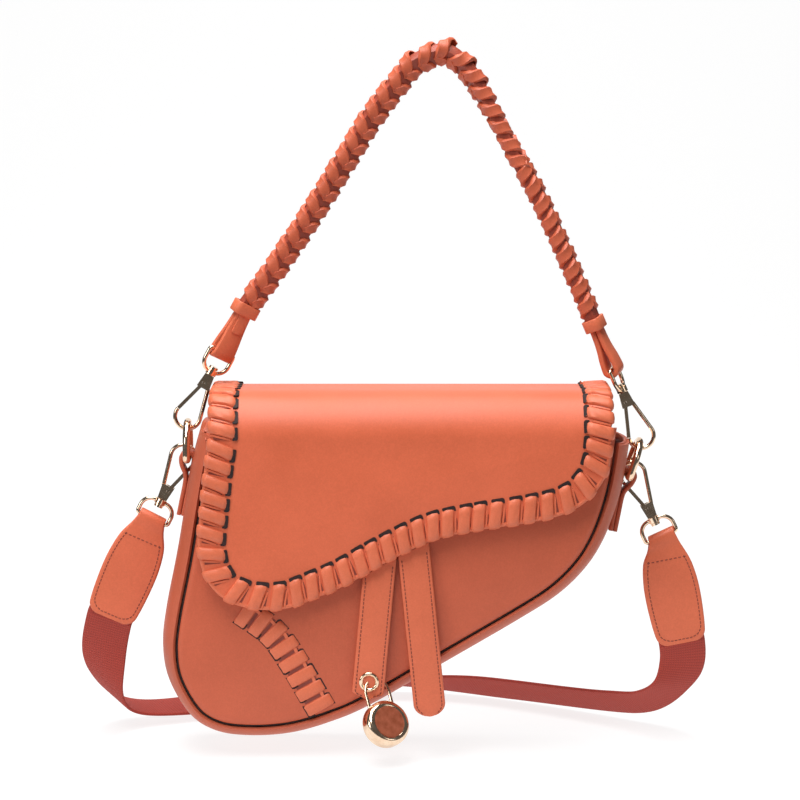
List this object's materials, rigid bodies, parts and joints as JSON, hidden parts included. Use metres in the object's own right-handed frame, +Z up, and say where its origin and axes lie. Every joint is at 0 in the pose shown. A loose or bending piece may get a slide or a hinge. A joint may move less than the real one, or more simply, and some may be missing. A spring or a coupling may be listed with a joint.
{
  "type": "saddle handbag",
  "caption": "Curved saddle handbag with a whip-laced flap, hanging tongues with a lock charm, a wrapped arched handle on swivel clasps and a webbing shoulder strap.",
  "frame": {"origin": "the grip: the underside of the handle's arch at its top", "axes": "+X to the right seen from the front, +Y to the back, +Z up"},
  "size_m": [0.3445, 0.1919, 0.3751],
  "materials": {
    "coral_leather": "smooth satin",
    "coral_thong": "smooth satin",
    "coral_webbing": "ribbed weave",
    "lining_cloth": "plain weave",
    "gold_metal": "polished pale gold"
  },
  "bodies": {
    "handle": {"handle_core": "coral_leather", "handle_lacing": "coral_thong", "left_keeper": "coral_leather", "right_keeper": "coral_leather", "left_handle_end": "coral_leather", "right_handle_end": "coral_leather", "handle_left_loop": "gold_metal", "handle_right_loop": "gold_metal"},
    "bag": {"front_panel": "coral_leather", "back_panel": "coral_leather", "gusset": "coral_leather", "lining": "lining_cloth", "flap_roof": "coral_leather", "roof_lacing": "coral_thong", "front_lacing": "coral_thong", "snap_socket": "gold_metal", "left_ring_tab": "coral_leather", "right_ring_tab": "coral_leather", "strap_webbing": "coral_webbing", "left_strap_end": "coral_leather", "right_strap_end": "coral_leather", "strap_left_loop": "gold_metal", "strap_right_loop": "gold_metal"},
    "left_side_ring": {"left_ring": "gold_metal"},
    "right_side_ring": {"right_ring": "gold_metal"},
    "flap": {"flap_panel": "coral_leather", "flap_lacing": "coral_thong", "snap_button": "gold_metal"},
    "left_hanging_tongue": {"left_tongue": "coral_leather", "eyelet": "gold_metal"},
    "right_hanging_tongue": {"right_tongue": "coral_leather"},
    "charm": {"lock_body": "gold_metal", "lock_shackle": "gold_metal"},
    "handle_left_clasp": {"handle_left_hook": "gold_metal", "handle_left_pin": "gold_metal"},
    "handle_left_catch": {"handle_left_gate": "gold_metal"},
    "handle_right_clasp": {"handle_right_hook": "gold_metal", "handle_right_pin": "gold_metal"},
    "handle_right_catch": {"handle_right_gate": "gold_metal"},
    "strap_left_clasp": {"strap_left_hook": "gold_metal", "strap_left_pin": "gold_metal"},
    "strap_left_catch": {"strap_left_gate": "gold_metal"},
    "strap_right_clasp": {"strap_right_hook": "gold_metal", "strap_right_pin": "gold_metal"},
    "strap_right_catch": {"strap_right_gate": "gold_metal"}
  },
  "joints": [
    {"name": "bag_swing", "type": "hinge", "parent": "handle", "child": "bag", "pos_m": [-0.01441, 0, -0.20195], "axis": [0.9991, 0, -0.0422], "range_deg": [-18, 18]},
    {"name": "handle_left_swivel", "type": "hinge", "parent": "handle", "child": "handle_left_clasp", "pos_m": [-0.12352, 0, -0.16716], "axis": [0.4772, 0, 0.8788], "range_deg": [-10, 10]},
    {"name": "handle_left_gate_spring", "type": "hinge", "parent": "handle_left_clasp", "child": "handle_left_catch", "pos_m": [-0.12707, 0, -0.1716], "axis": [0, -1, 0], "range_deg": [0, 20], "stiffness_Nm_per_rad": 0.02},
    {"name": "handle_right_swivel", "type": "hinge", "parent": "handle", "child": "handle_right_clasp", "pos_m": [0.09906, 0, -0.17669], "axis": [-0.3907, 0, 0.9205], "range_deg": [-10, 10]},
    {"name": "handle_right_gate_spring", "type": "hinge", "parent": "handle_right_clasp", "child": "handle_right_catch", "pos_m": [0.10033, 0, -0.18223], "axis": [0, -1, 0], "range_deg": [0, 20], "stiffness_Nm_per_rad": 0.02},
    {"name": "strap_left_swivel", "type": "hinge", "parent": "bag", "child": "strap_left_clasp", "pos_m": [-0.15103, 0.0082, -0.23663], "axis": [-0.454, 0, -0.891], "range_deg": [-8, 8]},
    {"name": "strap_left_gate_spring", "type": "hinge", "parent": "strap_left_clasp", "child": "strap_left_catch", "pos_m": [-0.1476, 0.0082, -0.23209], "axis": [0, -1, 0], "range_deg": [0, 20], "stiffness_Nm_per_rad": 0.02},
    {"name": "strap_right_swivel", "type": "hinge", "parent": "bag", "child": "strap_right_clasp", "pos_m": [0.11654, 0.0082, -0.24653], "axis": [0.4226, 0, -0.9063], "range_deg": [-8, 8]},
    {"name": "strap_right_gate_spring", "type": "hinge", "parent": "strap_right_clasp", "child": "strap_right_catch", "pos_m": [0.11327, 0.0082, -0.24188], "axis": [0, 1, 0], "range_deg": [0, 20], "stiffness_Nm_per_rad": 0.02},
    {"name": "left_ring_tilt", "type": "hinge", "parent": "bag", "child": "left_side_ring", "pos_m": [-0.13593, 0, -0.21256], "axis": [0, 1, 0], "range_deg": [-3, 3]},
    {"name": "right_ring_tilt", "type": "hinge", "parent": "bag", "child": "right_side_ring", "pos_m": [0.10225, 0, -0.22207], "axis": [0, 1, 0], "range_deg": [-3, 3]},
    {"name": "flap_fold", "type": "hinge", "parent": "bag", "child": "flap", "pos_m": [-0.02121, -0.016, -0.17367], "axis": [-1, 0, 0], "range_deg": [0, 115]},
    {"name": "left_tongue_swing", "type": "hinge", "parent": "flap", "child": "left_hanging_tongue", "pos_m": [-0.03199, -0.0351, -0.26609], "axis": [-0.8643, 0, -0.5029], "range_deg": [0, 60]},
    {"name": "right_tongue_swing", "type": "hinge", "parent": "flap", "child": "right_hanging_tongue", "pos_m": [-0.01402, -0.0351, -0.25663], "axis": [-0.9028, 0, -0.4301], "range_deg": [0, 60]},
    {"name": "charm_swing", "type": "hinge", "parent": "left_hanging_tongue", "child": "charm", "pos_m": [-0.03776, -0.0351, -0.32822], "axis": [0, 1, 0], "range_deg": [-8, 8]}
  ]
}
